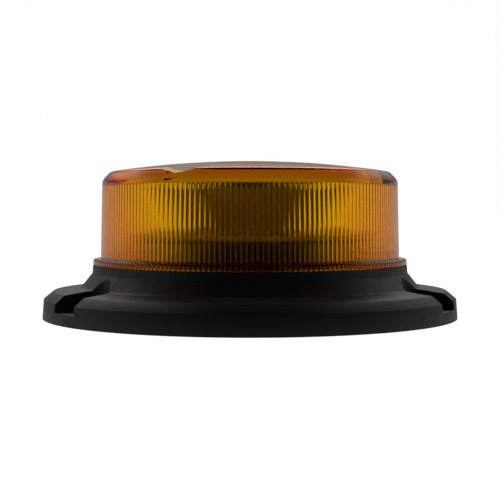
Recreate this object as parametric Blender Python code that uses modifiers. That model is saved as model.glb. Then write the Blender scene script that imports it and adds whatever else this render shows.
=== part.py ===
"""Low-profile amber LED warning beacon with a three-bolt flange base.

Metres, +Z up. The origin is the centre of the underside. The beacon is turned about +Z:
the base, lens, reflector and heat sink are turned profiles, and three radial bolt channels
cut the flange at 90, 210 and 330 degrees.
"""
import math

import bmesh
import bpy
from mathutils import Matrix, Vector

MM = 0.001
GAP = 0.3 * MM                     # clearance between pieces that touch
BIG_STEPS = 60                     # facets round the turned mouldings
MIDDLE_STEPS = 40                  # facets round the inner rings and boards
SMALL_STEPS = 16                   # facets round small round pieces
HOLE_STEPS = 8                     # facets round a screw hole
OVERCUT = 1.0 * MM                 # how far a cutter runs past the face that it opens

# Base housing
RIM_R = 80.0 * MM
RIM_TOP_R = 79.5 * MM
RIM_H = 7.3 * MM
SHELF_OUTER_R = 75.9 * MM
SHELF_OUTER_Z = 10.3 * MM
SHELF_INNER_R = 65.4 * MM
SHELF_INNER_Z = 11.6 * MM
CONE_FILLET = 1.2 * MM
COLLAR_R = 61.1 * MM
COLLAR_FOOT_Z = 17.0 * MM
COLLAR_TOP_Z = 20.0 * MM
FOOT_INNER_R = 57.3 * MM           # recess for the bottom cover
LEDGE_Z = 6.8 * MM                 # ledge that the cover gasket seals against
CAVITY_R = 51.2 * MM
DECK_Z = 15.5 * MM                 # deck that the heat sink stands on
DECK_T = 2.5 * MM
DECK_HOLE_R = 36.0 * MM
GROOVE_OUTER_R = 58.0 * MM         # groove for the lens spigot and its seal
GROOVE_INNER_R = 53.3 * MM
GROOVE_WALL = 3.0 * MM
GROOVE_Z = 13.4 * MM

# Bolt channels in the flange
CHANNEL_COUNT = 3
CHANNEL_FIRST_DEG = 90.0
CHANNEL_W = 15.5 * MM
CHANNEL_FLOOR_Z = 4.3 * MM
CHANNEL_END_R = 61.9 * MM          # innermost reach of the round end
BOLT_R = 70.0 * MM                 # radius of the bolt circle
BOLT_SLOT_W = 6.8 * MM
BOLT_SLOT_L = 11.0 * MM

# Coring pockets under the flange
POCKETS_PER_SIDE = 3
POCKET_RIB_DEG = 3.0
POCKET_MARGIN_DEG = 11.0
POCKET_INNER_R = 64.4 * MM
POCKET_OUTER_R = 76.2 * MM
POCKET_TOP_Z = 8.4 * MM

# Gaskets
GASKET_T = 1.5 * MM
GASKET_INNER_R = 62.3 * MM
GASKET_OUTER_R = 76.9 * MM
COVER_GASKET_T = 1.2 * MM
COVER_GASKET_INNER_R = 52.4 * MM
COVER_GASKET_OUTER_R = 56.9 * MM

# Lens
FLANGE_R = 60.8 * MM
FLANGE_TOP_Z = 22.5 * MM
FLANGE_ROUND = 0.8 * MM
WALL_FOOT_R = 57.9 * MM
WALL_TOP_R = 57.2 * MM
WALL_TOP_Z = 51.8 * MM
WALL_INNER_R = 54.0 * MM
WALL_INNER_TOP_Z = 50.35 * MM
KNEE_R = 56.2 * MM                 # break between the wall's top and the sloping shoulder
KNEE_Z = 53.7 * MM
SHOULDER_R = 53.8 * MM
SHOULDER_Z = 55.7 * MM
APEX_Z = 59.8 * MM
LENS_T = 3.0 * MM
DOME_INNER_R = 49.2 * MM           # edge of the dome's inner surface
SPIGOT_OUTER_R = 57.5 * MM
SPIGOT_FOOT_Z = 16.0 * MM
NOTCH_COUNT = 4
NOTCH_FIRST_DEG = -32.0
NOTCH_DEPTH = 1.6 * MM
NOTCH_HALF_W = 8.3 * MM
NOTCH_TILT_DEG = 9.0               # the valley rises towards the middle and fades out
NOTCH_RUN = 70.0 * MM
NOTCH_VALLEY_W = 0.2 * MM
NOTCH_CUT_H = 6.0 * MM             # height of the cutter above its valley
SEAL_R = 1.05 * MM

# Heat sink, boards and light engine
DRUM_R = 39.8 * MM
DRUM_WALL = 3.0 * MM
DRUM_TOP_Z = 29.0 * MM
DRUM_HOLE_R = 9.0 * MM
DRUM_EDGE = 0.5 * MM
LUG_TOP_Z = 20.5 * MM
LUG_LIFT = 0.4 * MM                # the lugs clear the deck, so that the drum's wall bears on it
THERMAL_PAD_T = 0.4 * MM
THERMAL_PAD_R = 37.6 * MM
THERMAL_PAD_HOLE_R = 10.0 * MM
PAD_GAP = 0.2 * MM
LED_BOARD_R = 39.6 * MM
BOARD_T = 1.6 * MM
LED_COUNT = 12
LED_RING_R = 29.0 * MM
LED_SIDE = 3.5 * MM
LED_BODY_H = 0.9 * MM
LED_DOME_R = 1.5 * MM
LED_DOME_H = 0.8 * MM
DRIVER_BOARD_R = 35.4 * MM
DRIVER_BOARD_Z = 12.3 * MM
CAPACITOR_R = 5.0 * MM
CAPACITOR_H = 10.5 * MM
CAPACITOR_EDGE = 0.5 * MM
CAPACITOR_PLACES = ((-19.0 * MM, 10.5 * MM), (-19.0 * MM, -10.5 * MM))
LINK_SIZE = (10.0 * MM, 5.0 * MM)  # header between the two boards
CONNECTOR_SIZE = (12.5 * MM, 6.5 * MM, 6.0 * MM)
CONNECTOR_PLACE = (0.0, -22.0 * MM)

# Square parts on the driver board: name, length, width, height, x, y, rounding, material
DRIVER_PARTS = (
    ("regulator_1", 6.6 * MM, 6.1 * MM, 2.3 * MM, 20.0 * MM, -6.0 * MM, 0.0, "chip_black"),
    ("regulator_2", 6.6 * MM, 6.1 * MM, 2.3 * MM, 20.0 * MM, -16.0 * MM, 0.0, "chip_black"),
    ("microcontroller", 7.0 * MM, 7.0 * MM, 1.0 * MM, -2.0 * MM, -22.0 * MM, 0.0, "chip_black"),
    ("reverse_diode", 4.6 * MM, 3.8 * MM, 2.3 * MM, -1.0 * MM, 22.0 * MM, 0.0, "chip_black"),
    ("inductor", 12.0 * MM, 12.0 * MM, 7.0 * MM, 19.0 * MM, 13.0 * MM, 1.5 * MM, "inductor_grey"),
)

# Trumpet reflector: its radius grows with height, faster towards the mouth
TRUMPET_NECK_R = 22.5 * MM
TRUMPET_FLARE = 0.55
TRUMPET_BEND = 17.0                # per metre
TRUMPET_TOP_Z = 48.1 * MM
TRUMPET_WALL = 1.4 * MM
TRUMPET_FLOOR_T = 1.6 * MM
HUB_R = 17.5 * MM
HUB_TOP_Z = 50.9 * MM
HUB_EDGE = 0.6 * MM
CAP_TOP_Z = 47.4 * MM
CAP_T = 1.5 * MM

# Bottom cover and what it carries
COVER_R = 57.0 * MM
COVER_Z = 2.6 * MM
COVER_T = 2.4 * MM
COVER_RIB_R = 36.0 * MM
COVER_RIB_W = 1.6 * MM
COVER_RIB_H = 1.5 * MM
GROMMET_BORE_R = 3.7 * MM
GROMMET_NECK_R = 7.6 * MM
GROMMET_FLANGE_R = 10.0 * MM
FLANGE_T = 1.5 * MM                # flanges of the grommet and cap of the vent
FLANGE_EDGE = 0.6 * MM
VENT_PLACE = (26.0 * MM, 0.0)
VENT_NECK_R = 3.6 * MM
VENT_CAP_R = 6.0 * MM
VENT_STAND = 1.0 * MM              # how far the vent's neck stands above the cover

# Screw circles: radius, count and first azimuth
COVER_SCREWS = (48.0 * MM, 6, 0.0)
DRUM_SCREWS = (43.5 * MM, 3, 45.0)
DRIVER_SCREWS = (32.0 * MM, 3, 90.0)
REFLECTOR_SCREWS = (17.0 * MM, 3, 30.0)
LONG_SCREW = 8.0 * MM              # length under the head
SHORT_SCREW = 6.0 * MM
SCREW_SHANK_R = 1.25 * MM
SCREW_POINT = 0.9 * MM
SCREW_SOCKET_R = 0.9 * MM
SCREW_EDGE = 0.7 * MM
SCREW_HOLE_R = 1.6 * MM
SCREW_HEAD_R = 2.75 * MM
SCREW_HEAD_H = 1.8 * MM
BOSS_R = 3.6 * MM

PARTS_NAME = "led_warning_beacon"
CUTTERS_NAME = "cutters"

parts = None
cutters = None
materials = {}


# ---------------------------------------------------------------- scene and materials
def clear_scene():
    for obj in list(bpy.data.objects):
        bpy.data.objects.remove(obj, do_unlink=True)


def make_collections():
    global parts, cutters
    parts = bpy.data.collections.new(PARTS_NAME)
    cutters = bpy.data.collections.new(CUTTERS_NAME)
    for collection in (parts, cutters):
        bpy.context.scene.collection.children.link(collection)


def make_material(name, colour, roughness, metallic=0.0, transmission=0.0):
    material = bpy.data.materials.new(name)
    material.use_nodes = True
    shader = material.node_tree.nodes["Principled BSDF"]
    shader.inputs["Base Color"].default_value = (*colour, 1.0)
    shader.inputs["Roughness"].default_value = roughness
    shader.inputs["Metallic"].default_value = metallic
    shader.inputs["Transmission Weight"].default_value = transmission
    materials[name] = material


def make_materials():
    make_material("housing_plastic", (0.012, 0.012, 0.014), 0.55)
    make_material("amber_lens", (0.90, 0.36, 0.01), 0.12, transmission=0.8)
    make_material("reflector_metal", (0.80, 0.80, 0.82), 0.12, metallic=1.0)
    make_material("cap_plastic", (0.62, 0.62, 0.63), 0.35, metallic=1.0)
    make_material("heat_sink_metal", (0.32, 0.32, 0.33), 0.35, metallic=1.0)
    make_material("led_board_mask", (0.66, 0.64, 0.58), 0.35)
    make_material("led_phosphor", (0.85, 0.45, 0.08), 0.3)
    make_material("thermal_pad_grey", (0.35, 0.37, 0.40), 0.8)
    make_material("driver_board_green", (0.02, 0.16, 0.07), 0.4)
    make_material("chip_black", (0.02, 0.02, 0.02), 0.5)
    make_material("inductor_grey", (0.12, 0.12, 0.13), 0.6)
    make_material("capacitor_sleeve", (0.10, 0.11, 0.20), 0.3, metallic=0.3)
    make_material("connector_cream", (0.75, 0.72, 0.62), 0.5)
    make_material("seal_rubber", (0.02, 0.02, 0.02), 0.8)
    make_material("seal_silicone", (0.45, 0.09, 0.05), 0.6)
    make_material("cover_plastic", (0.02, 0.02, 0.022), 0.6)
    make_material("vent_plastic", (0.10, 0.10, 0.11), 0.5)
    make_material("screw_steel", (0.55, 0.55, 0.57), 0.3, metallic=1.0)


# ---------------------------------------------------------------- shape helpers
def link(name, mesh, material, collection=None):
    obj = bpy.data.objects.new(name, mesh)
    (collection or parts).objects.link(obj)
    if material:
        mesh.materials.append(materials[material])
    return obj


def arc(centre, radius, start_deg, end_deg, steps):
    """Points (r, z) along a circular arc, both ends included."""
    points = []
    for step in range(steps + 1):
        angle = math.radians(start_deg + (end_deg - start_deg) * step / steps)
        points.append((centre[0] + radius * math.cos(angle),
                       centre[1] + radius * math.sin(angle)))
    return points


def profile_mesh(name, outline, closed):
    mesh = bpy.data.meshes.new(name)
    vertices = [(radius, 0.0, height) for radius, height in outline]
    edges = [(index, index + 1) for index in range(len(outline) - 1)]
    if closed:
        edges.append((len(outline) - 1, 0))
    mesh.from_pydata(vertices, edges, [])
    return mesh


def turn(name, outline, material, steps=BIG_STEPS, closed=True, collection=None):
    """Turn an (r, z) outline about Z. The outline runs down its outer side."""
    obj = link(name, profile_mesh(name, outline, closed), material, collection)
    screw = obj.modifiers.new("turn", "SCREW")
    screw.axis = "Z"
    screw.angle = math.tau
    screw.steps = steps
    screw.render_steps = steps
    screw.use_merge_vertices = True
    screw.merge_threshold = 0.01 * MM
    screw.use_smooth_shade = True
    return obj


def rod_mesh(name, radius, length, steps=SMALL_STEPS):
    mesh = bpy.data.meshes.new(name)
    work = bmesh.new()
    bmesh.ops.create_cone(work, cap_ends=True, segments=steps,
                          radius1=radius, radius2=radius, depth=length)
    work.to_mesh(mesh)
    work.free()
    return mesh


def rod(name, radius, bottom, top, place, material, steps=SMALL_STEPS, collection=None):
    """A cylinder standing at an (x, y) place between two heights."""
    mesh = rod_mesh(name, radius, top - bottom, steps)
    obj = link(name, mesh, material, collection)
    obj.location = (place[0], place[1], (bottom + top) / 2)
    return obj


def block(name, size, centre, material, azimuth=0.0, collection=None):
    """A box of a given size, turned about Z by azimuth degrees."""
    mesh = bpy.data.meshes.new(name)
    work = bmesh.new()
    bmesh.ops.create_cube(work, size=1.0)
    bmesh.ops.scale(work, vec=Vector(size), verts=work.verts)
    work.to_mesh(mesh)
    work.free()
    obj = link(name, mesh, material, collection)
    obj.location = centre
    obj.rotation_euler[2] = math.radians(azimuth)
    return obj


def polar(radius, azimuth):
    angle = math.radians(azimuth)
    return (radius * math.cos(angle), radius * math.sin(angle))


def circle_places(circle):
    radius, count, first = circle
    return [polar(radius, first + index * 360.0 / count) for index in range(count)]


def combine(obj, tool, operation):
    boolean = obj.modifiers.new(operation.lower(), "BOOLEAN")
    boolean.operation = operation
    boolean.object = tool
    boolean.solver = "EXACT"


def cut(obj, tool):
    tool.hide_render = True
    tool.display_type = "WIRE"
    combine(obj, tool, "DIFFERENCE")


def join(obj, tool):
    tool.hide_render = True
    tool.display_type = "WIRE"
    combine(obj, tool, "UNION")


def soften(obj, width, segments=1):
    bevel = obj.modifiers.new("edges", "BEVEL")
    bevel.width = width
    bevel.segments = segments
    bevel.limit_method = "ANGLE"
    bevel.angle_limit = math.radians(40)


# ---------------------------------------------------------------- base housing
def housing_outline():
    """Section of the housing ring, down the outside and back up the inside."""
    slope_deg = math.degrees(math.atan2(COLLAR_FOOT_Z - SHELF_INNER_Z,
                                        SHELF_INNER_R - COLLAR_R))
    fillet_centre = (SHELF_INNER_R + CONE_FILLET * math.tan(math.radians(slope_deg / 2)),
                     SHELF_INNER_Z + CONE_FILLET)
    outside = [
        (COLLAR_R - 0.2 * MM, COLLAR_TOP_Z - GAP / 2),
        (COLLAR_R, COLLAR_FOOT_Z),
        *arc(fillet_centre, CONE_FILLET, 270 - slope_deg, 270, 2),
        (SHELF_OUTER_R, SHELF_OUTER_Z),
        (RIM_TOP_R, RIM_H),
        (RIM_R, 0.0),
    ]
    underside = [
        (GASKET_OUTER_R + GAP, 0.0),
        (GASKET_OUTER_R + GAP, GASKET_T + GAP),
        (GASKET_INNER_R - GAP, GASKET_T + GAP),
        (GASKET_INNER_R - GAP, 0.0),
        (FOOT_INNER_R, 0.0),
        (FOOT_INNER_R, LEDGE_Z),
        (CAVITY_R, LEDGE_Z),
        (CAVITY_R, DECK_Z - DECK_T),
        (DECK_HOLE_R, DECK_Z - DECK_T),
    ]
    deck = [
        (DECK_HOLE_R, DECK_Z),
        (GROOVE_INNER_R - GROOVE_WALL, DECK_Z),
        (GROOVE_INNER_R - GROOVE_WALL, COLLAR_TOP_Z - GAP / 2),
        (GROOVE_INNER_R, COLLAR_TOP_Z - GAP / 2),
        (GROOVE_INNER_R, GROOVE_Z),
        (GROOVE_OUTER_R, GROOVE_Z),
        (GROOVE_OUTER_R, COLLAR_TOP_Z - GAP / 2),
    ]
    return outside + underside + deck


def channel_azimuths():
    return [CHANNEL_FIRST_DEG + index * 360.0 / CHANNEL_COUNT for index in range(CHANNEL_COUNT)]


def channel_cutter(azimuth):
    """A straight channel with a round inner end, open above and at the rim."""
    height = COLLAR_FOOT_Z + OVERCUT - CHANNEL_FLOOR_Z
    middle_z = CHANNEL_FLOOR_Z + height / 2
    end_centre_r = CHANNEL_END_R + CHANNEL_W / 2
    run = RIM_R + OVERCUT - end_centre_r
    middle = polar(end_centre_r + run / 2, azimuth)
    straight = block("channel_cut", (run, CHANNEL_W, height), (*middle, middle_z),
                     None, azimuth, cutters)
    end = rod("channel_end_cut", CHANNEL_W / 2, CHANNEL_FLOOR_Z, CHANNEL_FLOOR_Z + height,
              polar(end_centre_r, azimuth), None, 2 * SMALL_STEPS, cutters)
    return [straight, end]


def bolt_slot_cutters(azimuth):
    """A radially long hole for a fixing bolt, as a block and two round ends."""
    reach = (BOLT_SLOT_L - BOLT_SLOT_W) / 2
    bottom = -OVERCUT
    top = CHANNEL_FLOOR_Z + OVERCUT
    middle = polar(BOLT_R, azimuth)
    height = top - bottom
    tools = [block("slot_cut", (2 * reach, BOLT_SLOT_W, height), (*middle, bottom + height / 2),
                   None, azimuth, cutters)]
    for side in (-1, 1):
        place = polar(BOLT_R + side * reach, azimuth)
        tools.append(rod("slot_end_cut", BOLT_SLOT_W / 2, bottom, top, place,
                         None, SMALL_STEPS, cutters))
    return tools


def pocket_cutters():
    """Sector-shaped pockets that core out the flange between the bolt channels."""
    side_deg = 360.0 / CHANNEL_COUNT - 2 * POCKET_MARGIN_DEG
    pitch_deg = side_deg / POCKETS_PER_SIDE
    tools = []
    for azimuth in channel_azimuths():
        for index in range(POCKETS_PER_SIDE):
            start = azimuth + POCKET_MARGIN_DEG + index * pitch_deg + POCKET_RIB_DEG / 2
            tools.append(sector("pocket_cut", start, pitch_deg - POCKET_RIB_DEG))
    return tools


def sector(name, start_deg, sweep_deg, steps=2):
    """A ring sector between the pocket radii, from below the recess to the pocket top."""
    work = bmesh.new()
    rows = []
    bottom = -OVERCUT
    for step in range(steps + 1):
        azimuth = start_deg + sweep_deg * step / steps
        inner = polar(POCKET_INNER_R, azimuth)
        outer = polar(POCKET_OUTER_R, azimuth)
        rows.append([work.verts.new((*inner, bottom)), work.verts.new((*outer, bottom)),
                     work.verts.new((*outer, POCKET_TOP_Z)), work.verts.new((*inner, POCKET_TOP_Z))])
    for near, far in zip(rows, rows[1:]):
        for corner in range(4):
            following = (corner + 1) % 4
            work.faces.new((near[corner], near[following], far[following], far[corner]))
    work.faces.new(rows[0])
    work.faces.new(rows[-1])
    bmesh.ops.recalc_face_normals(work, faces=work.faces)
    mesh = bpy.data.meshes.new(name)
    work.to_mesh(mesh)
    work.free()
    return link(name, mesh, None, cutters)


def make_base_housing():
    housing = turn("base_housing", housing_outline(), "housing_plastic")
    for azimuth in channel_azimuths():
        for tool in channel_cutter(azimuth) + bolt_slot_cutters(azimuth):
            cut(housing, tool)
    for tool in pocket_cutters():
        cut(housing, tool)
    deck_bottom = DECK_Z - DECK_T
    for place in circle_places(COVER_SCREWS):
        join(housing, rod("boss_join", BOSS_R, COVER_Z + COVER_T + GAP, deck_bottom + OVERCUT,
                          place, None, SMALL_STEPS, cutters))
        cut(housing, rod("boss_hole_cut", SCREW_HOLE_R, COVER_Z, deck_bottom - OVERCUT, place,
                         None, HOLE_STEPS, cutters))
    for place in circle_places(DRUM_SCREWS):
        cut(housing, rod("deck_hole_cut", SCREW_HOLE_R, deck_bottom - OVERCUT, DECK_Z + OVERCUT,
                         place, None, HOLE_STEPS, cutters))


def make_mounting_gasket():
    outline = [
        (GASKET_OUTER_R, GASKET_T),
        (GASKET_OUTER_R, 0.0),
        (GASKET_INNER_R, 0.0),
        (GASKET_INNER_R, GASKET_T),
    ]
    gasket = turn("mounting_gasket", outline, "seal_rubber")
    for azimuth in channel_azimuths():
        for tool in bolt_slot_cutters(azimuth):
            cut(gasket, tool)


# ---------------------------------------------------------------- lens and its seal
def lens_outline():
    """Lens section: dome, shoulder, wall, flange and spigot, then the inner surface."""
    rise = APEX_Z - SHOULDER_Z
    dome_r = (SHOULDER_R ** 2 + rise ** 2) / (2 * rise)
    edge_deg = math.degrees(math.asin(SHOULDER_R / dome_r))
    centre = (0.0, APEX_Z - dome_r)
    dome = arc(centre, dome_r, 90, 90 - edge_deg, 4)
    dome[0] = (0.0, APEX_Z)
    under_r = dome_r - LENS_T
    under_deg = math.degrees(math.asin(DOME_INNER_R / under_r))
    under_dome = arc(centre, under_r, 90 - under_deg, 90, 3)
    under_dome[-1] = (0.0, APEX_Z - LENS_T)
    flange_foot = COLLAR_TOP_Z + GAP / 2
    return [
        *dome,
        (KNEE_R, KNEE_Z),
        (WALL_TOP_R, WALL_TOP_Z),
        (WALL_FOOT_R, FLANGE_TOP_Z),
        *arc((FLANGE_R - FLANGE_ROUND, FLANGE_TOP_Z - FLANGE_ROUND), FLANGE_ROUND, 90, 0, 2),
        (FLANGE_R, flange_foot),
        (SPIGOT_OUTER_R, flange_foot),
        (SPIGOT_OUTER_R, SPIGOT_FOOT_Z),
        (WALL_INNER_R, SPIGOT_FOOT_Z),
        (WALL_INNER_R, WALL_INNER_TOP_Z),
        *under_dome,
    ]


def notch_cutter(azimuth):
    """A wide V-shaped prism, edge down, laid across the dome's edge along a radius."""
    top_w = 2 * NOTCH_HALF_W * NOTCH_CUT_H / NOTCH_DEPTH
    work = bmesh.new()
    bmesh.ops.create_cube(work, size=1.0)
    for vertex in work.verts:
        top = vertex.co.z > 0
        vertex.co.x *= NOTCH_RUN
        vertex.co.y *= top_w if top else NOTCH_VALLEY_W
        vertex.co.z = NOTCH_CUT_H if top else 0.0
    mesh = bpy.data.meshes.new("notch_cut")
    work.to_mesh(mesh)
    work.free()
    tool = link("notch_cut", mesh, None, cutters)
    place = Matrix.Translation((*polar(SHOULDER_R, azimuth), SHOULDER_Z - NOTCH_DEPTH))
    heading = Matrix.Rotation(math.radians(azimuth), 4, "Z")
    tilt = Matrix.Rotation(math.radians(NOTCH_TILT_DEG), 4, "Y")
    tool.matrix_world = place @ heading @ tilt
    return tool


def make_lens():
    lens = turn("lens", lens_outline(), "amber_lens", closed=False)
    for index in range(NOTCH_COUNT):
        cut(lens, notch_cutter(NOTCH_FIRST_DEG + index * 360.0 / NOTCH_COUNT))


def make_lens_seal():
    middle = ((GROOVE_INNER_R + GROOVE_OUTER_R) / 2, GROOVE_Z + GAP + SEAL_R)
    outline = arc(middle, SEAL_R, 180, -180, 6)[:-1]
    turn("lens_seal", outline, "seal_silicone", steps=MIDDLE_STEPS)


# ---------------------------------------------------------------- heat sink
def drum_lugs():
    """Low ears round the drum's foot, each a block out from the wall with a round end."""
    bottom = DECK_Z + GAP + LUG_LIFT
    height = LUG_TOP_Z - bottom
    radius, count, first = DRUM_SCREWS
    root_r = DRUM_R - DRUM_WALL / 2
    lugs = []
    for index, place in enumerate(circle_places(DRUM_SCREWS)):
        azimuth = first + index * 360.0 / count
        middle = polar((root_r + radius) / 2, azimuth)
        lugs.append(block("lug_root_join", (radius - root_r, 2 * BOSS_R, height),
                          (*middle, bottom + height / 2), None, azimuth, cutters))
        lugs.append(rod("lug_join", BOSS_R, bottom, LUG_TOP_Z, place, None, SMALL_STEPS, cutters))
    return lugs


def make_heat_sink():
    """A drum, open below, with the posts that carry the driver board under its ceiling."""
    inner_r = DRUM_R - DRUM_WALL
    ceiling = DRUM_TOP_Z - DRUM_WALL
    foot = DECK_Z + GAP
    outline = [
        (DRUM_HOLE_R, DRUM_TOP_Z),
        (DRUM_R - DRUM_EDGE, DRUM_TOP_Z),
        (DRUM_R, DRUM_TOP_Z - DRUM_EDGE),
        (DRUM_R, foot),
        (inner_r, foot),
        (inner_r, ceiling),
        (DRUM_HOLE_R, ceiling),
    ]
    sink = turn("heat_sink", outline, "heat_sink_metal")
    for lug in drum_lugs():
        join(sink, lug)
    for place in circle_places(DRUM_SCREWS):
        cut(sink, rod("lug_hole_cut", SCREW_HOLE_R, foot - OVERCUT, LUG_TOP_Z + OVERCUT, place,
                      None, HOLE_STEPS, cutters))
    post_foot = DRIVER_BOARD_Z + BOARD_T + GAP
    for place in circle_places(DRIVER_SCREWS):
        join(sink, rod("post_join", BOSS_R, post_foot, ceiling + OVERCUT, place, None,
                       SMALL_STEPS, cutters))
        cut(sink, rod("post_hole_cut", SCREW_HOLE_R, post_foot - OVERCUT, post_foot + SHORT_SCREW,
                      place, None, HOLE_STEPS, cutters))
    for place in circle_places(REFLECTOR_SCREWS):
        cut(sink, rod("top_hole_cut", SCREW_HOLE_R, ceiling - OVERCUT, DRUM_TOP_Z + OVERCUT,
                      place, None, HOLE_STEPS, cutters))


def make_thermal_pad():
    bottom = DRUM_TOP_Z + PAD_GAP
    top = bottom + THERMAL_PAD_T
    outline = [
        (THERMAL_PAD_R, top),
        (THERMAL_PAD_R, bottom),
        (THERMAL_PAD_HOLE_R, bottom),
        (THERMAL_PAD_HOLE_R, top),
    ]
    pad = turn("thermal_pad", outline, "thermal_pad_grey", steps=MIDDLE_STEPS)
    for place in circle_places(REFLECTOR_SCREWS):
        cut(pad, rod("pad_hole_cut", SCREW_HOLE_R, bottom - OVERCUT, top + OVERCUT, place, None,
                     HOLE_STEPS, cutters))


# ---------------------------------------------------------------- light engine
def led_board_z():
    return DRUM_TOP_Z + PAD_GAP + THERMAL_PAD_T + PAD_GAP


def make_led_board():
    bottom = led_board_z()
    board = rod("led_board", LED_BOARD_R, bottom, bottom + BOARD_T, (0, 0),
                "led_board_mask", BIG_STEPS)
    for place in circle_places(REFLECTOR_SCREWS):
        cut(board, rod("board_hole_cut", SCREW_HOLE_R, bottom - OVERCUT,
                       bottom + BOARD_T + OVERCUT, place, None, HOLE_STEPS, cutters))


def led_dome_mesh():
    mesh = bpy.data.meshes.new("led_dome")
    work = bmesh.new()
    bmesh.ops.create_uvsphere(work, u_segments=8, v_segments=6, radius=1.0)
    bmesh.ops.scale(work, vec=Vector((LED_DOME_R, LED_DOME_R, LED_DOME_H)), verts=work.verts)
    work.to_mesh(mesh)
    work.free()
    return mesh


def make_leds():
    """Square packages, each with a low dome of resin joined on."""
    body_z = led_board_z() + BOARD_T + PAD_GAP + LED_BODY_H / 2
    dome_mesh = led_dome_mesh()
    for index in range(LED_COUNT):
        azimuth = index * 360.0 / LED_COUNT
        place = polar(LED_RING_R, azimuth)
        led = block(f"led_{index + 1:02d}", (LED_SIDE, LED_SIDE, LED_BODY_H), (*place, body_z),
                    "led_phosphor", azimuth)
        dome = link("led_dome_join", dome_mesh, None, cutters)
        dome.location = (*place, body_z + LED_BODY_H / 2)
        join(led, dome)


def reflector_foot_z():
    return led_board_z() + BOARD_T + GAP


def trumpet_r(height):
    """Radius of the mirror surface at a height above the reflector's foot."""
    return TRUMPET_NECK_R + TRUMPET_FLARE * height + TRUMPET_BEND * height ** 2


def make_reflector():
    foot = reflector_foot_z()
    floor = foot + TRUMPET_FLOOR_T
    steps = 6
    heights = [(TRUMPET_TOP_Z - foot) * step / steps for step in range(steps + 1)]
    inside = [(trumpet_r(height) - TRUMPET_WALL, foot + height)
              for height in heights if height > TRUMPET_FLOOR_T]
    outside = [(trumpet_r(height), foot + height) for height in reversed(heights)]
    outline = [(0.0, floor), (TRUMPET_NECK_R - TRUMPET_WALL, floor), *inside, *outside,
               (0.0, foot)]
    reflector = turn("reflector", outline, "reflector_metal", closed=False)
    for place in circle_places(REFLECTOR_SCREWS):
        cut(reflector, rod("floor_hole_cut", SCREW_HOLE_R, foot - OVERCUT, floor + OVERCUT,
                           place, None, HOLE_STEPS, cutters))


def make_reflector_cover():
    """A thin lid in the trumpet's mouth, with a raised hub in the middle."""
    bottom = CAP_TOP_Z - CAP_T
    top_r = trumpet_r(CAP_TOP_Z - reflector_foot_z()) - TRUMPET_WALL - GAP
    bottom_r = trumpet_r(bottom - reflector_foot_z()) - TRUMPET_WALL - GAP
    hub_inner_r = HUB_R - CAP_T
    outline = [
        (0.0, HUB_TOP_Z),
        (HUB_R - HUB_EDGE, HUB_TOP_Z),
        (HUB_R, HUB_TOP_Z - HUB_EDGE),
        (HUB_R, CAP_TOP_Z),
        (top_r, CAP_TOP_Z),
        (bottom_r, bottom),
        (hub_inner_r, bottom),
        (hub_inner_r, HUB_TOP_Z - CAP_T),
        (0.0, HUB_TOP_Z - CAP_T),
    ]
    turn("reflector_cover", outline, "cap_plastic", steps=MIDDLE_STEPS, closed=False)


# ---------------------------------------------------------------- driver electronics
def make_driver_board():
    top = DRIVER_BOARD_Z + BOARD_T
    board = rod("driver_board", DRIVER_BOARD_R, DRIVER_BOARD_Z, top, (0, 0),
                "driver_board_green", MIDDLE_STEPS)
    for place in circle_places(DRIVER_SCREWS):
        cut(board, rod("driver_hole_cut", SCREW_HOLE_R, DRIVER_BOARD_Z - OVERCUT, top + OVERCUT,
                       place, None, HOLE_STEPS, cutters))


def make_driver_parts():
    seat = DRIVER_BOARD_Z + BOARD_T + PAD_GAP
    for index, place in enumerate(CAPACITOR_PLACES):
        capacitor = rod(f"capacitor_{index + 1}", CAPACITOR_R, seat, seat + CAPACITOR_H, place,
                        "capacitor_sleeve")
        soften(capacitor, CAPACITOR_EDGE)
    for name, length, width, height, x, y, rounding, material in DRIVER_PARTS:
        part = block(name, (length, width, height), (x, y, seat + height / 2), material)
        if rounding:
            soften(part, rounding)


def make_connectors():
    """The header that joins the two boards, and the plug-in connector under the driver board."""
    seat = DRIVER_BOARD_Z + BOARD_T + PAD_GAP
    link_top = led_board_z() - PAD_GAP
    block("board_link_header", (*LINK_SIZE, link_top - seat), (0, 0, (seat + link_top) / 2),
          "connector_cream")
    under = DRIVER_BOARD_Z - PAD_GAP
    block("input_connector", CONNECTOR_SIZE, (*CONNECTOR_PLACE, under - CONNECTOR_SIZE[2] / 2),
          "connector_cream")


# ---------------------------------------------------------------- bottom cover
def make_bottom_cover():
    top = COVER_Z + COVER_T
    outline = [
        (COVER_R, top),
        (COVER_R, COVER_Z),
        (GROMMET_NECK_R + GAP, COVER_Z),
        (GROMMET_NECK_R + GAP, top),
        (COVER_RIB_R, top),
        (COVER_RIB_R, top + COVER_RIB_H),
        (COVER_RIB_R + COVER_RIB_W, top + COVER_RIB_H),
        (COVER_RIB_R + COVER_RIB_W, top),
    ]
    cover = turn("bottom_cover", outline, "cover_plastic", steps=MIDDLE_STEPS)
    for place in circle_places(COVER_SCREWS):
        cut(cover, rod("cover_hole_cut", SCREW_HOLE_R, COVER_Z - OVERCUT, top + OVERCUT, place,
                       None, HOLE_STEPS, cutters))
    cut(cover, rod("vent_hole_cut", VENT_NECK_R + GAP, COVER_Z - OVERCUT, top + OVERCUT,
                   VENT_PLACE, None, SMALL_STEPS, cutters))


def make_cover_gasket():
    bottom = COVER_Z + COVER_T + GAP
    top = bottom + COVER_GASKET_T
    outline = [
        (COVER_GASKET_OUTER_R, top),
        (COVER_GASKET_OUTER_R, bottom),
        (COVER_GASKET_INNER_R, bottom),
        (COVER_GASKET_INNER_R, top),
    ]
    turn("cover_gasket", outline, "seal_rubber", steps=MIDDLE_STEPS)


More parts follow.
